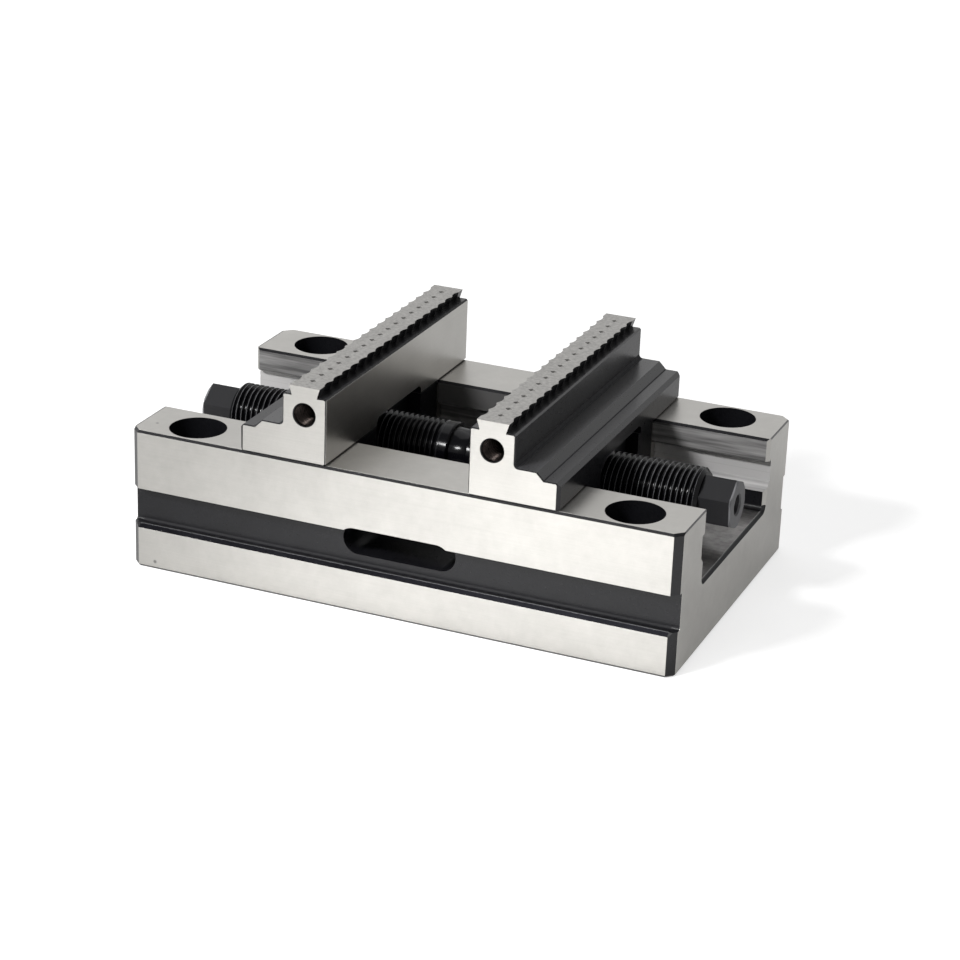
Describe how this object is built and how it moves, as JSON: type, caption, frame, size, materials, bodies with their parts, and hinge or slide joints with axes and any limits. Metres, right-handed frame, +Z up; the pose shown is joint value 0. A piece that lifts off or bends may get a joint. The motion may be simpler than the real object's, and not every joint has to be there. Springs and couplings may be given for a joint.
{
  "type": "self-centering vise",
  "caption": "Low self-centering vise: stepped jaws with serrated gripper heads slide on a ground body, drawn together by one screw with opposite threads.",
  "frame": {"origin": "centre of the body's underside", "axes": "+X along the lead screw to the right end, +Y to the back, +Z up; the pictured long side faces -Y"},
  "size_m": [0.15, 0.09, 0.0584],
  "materials": {
    "ground_steel": "surface-ground faces, black oxide in the grooves, bevels and pockets",
    "jaw_steel": "ground ends and head, black oxide on the steps and flanks",
    "black_steel": "black oxide, lightly oiled",
    "fastener_steel": "black oxide socket screws",
    "pin_steel": "ground and hardened pins"
  },
  "bodies": {
    "base": {"base_body": "ground_steel", "centre_fork": "black_steel", "fork_screws": "fastener_steel", "fork_dowels": "pin_steel"},
    "screw": {"lead_screw": "black_steel"},
    "left_slider": {"left_jaw": "jaw_steel", "left_lead_nut": "black_steel", "left_nut_dowels": "pin_steel"},
    "right_slider": {"right_jaw": "jaw_steel", "right_lead_nut": "black_steel", "right_nut_dowels": "pin_steel"}
  },
  "joints": [
    {"name": "screw_turn", "type": "hinge", "parent": "base", "child": "screw", "pos_m": [0, 0, 0.0295], "axis": [1, 0, 0], "range_deg": [-4178, 5426]},
    {"name": "left_jaw_slide", "type": "slide", "parent": "base", "child": "left_slider", "axis": [-1, 0, 0], "range_m": [-0.0174, 0.0226]},
    {"name": "right_jaw_slide", "type": "slide", "parent": "base", "child": "right_slider", "axis": [1, 0, 0], "range_m": [-0.0174, 0.0226]}
  ],
  "couplings": [
    {"joint": "screw_turn", "follows": "left_jaw_slide", "rad_per_m": 4188.8},
    {"joint": "right_jaw_slide", "follows": "left_jaw_slide", "ratio": 1}
  ]
}
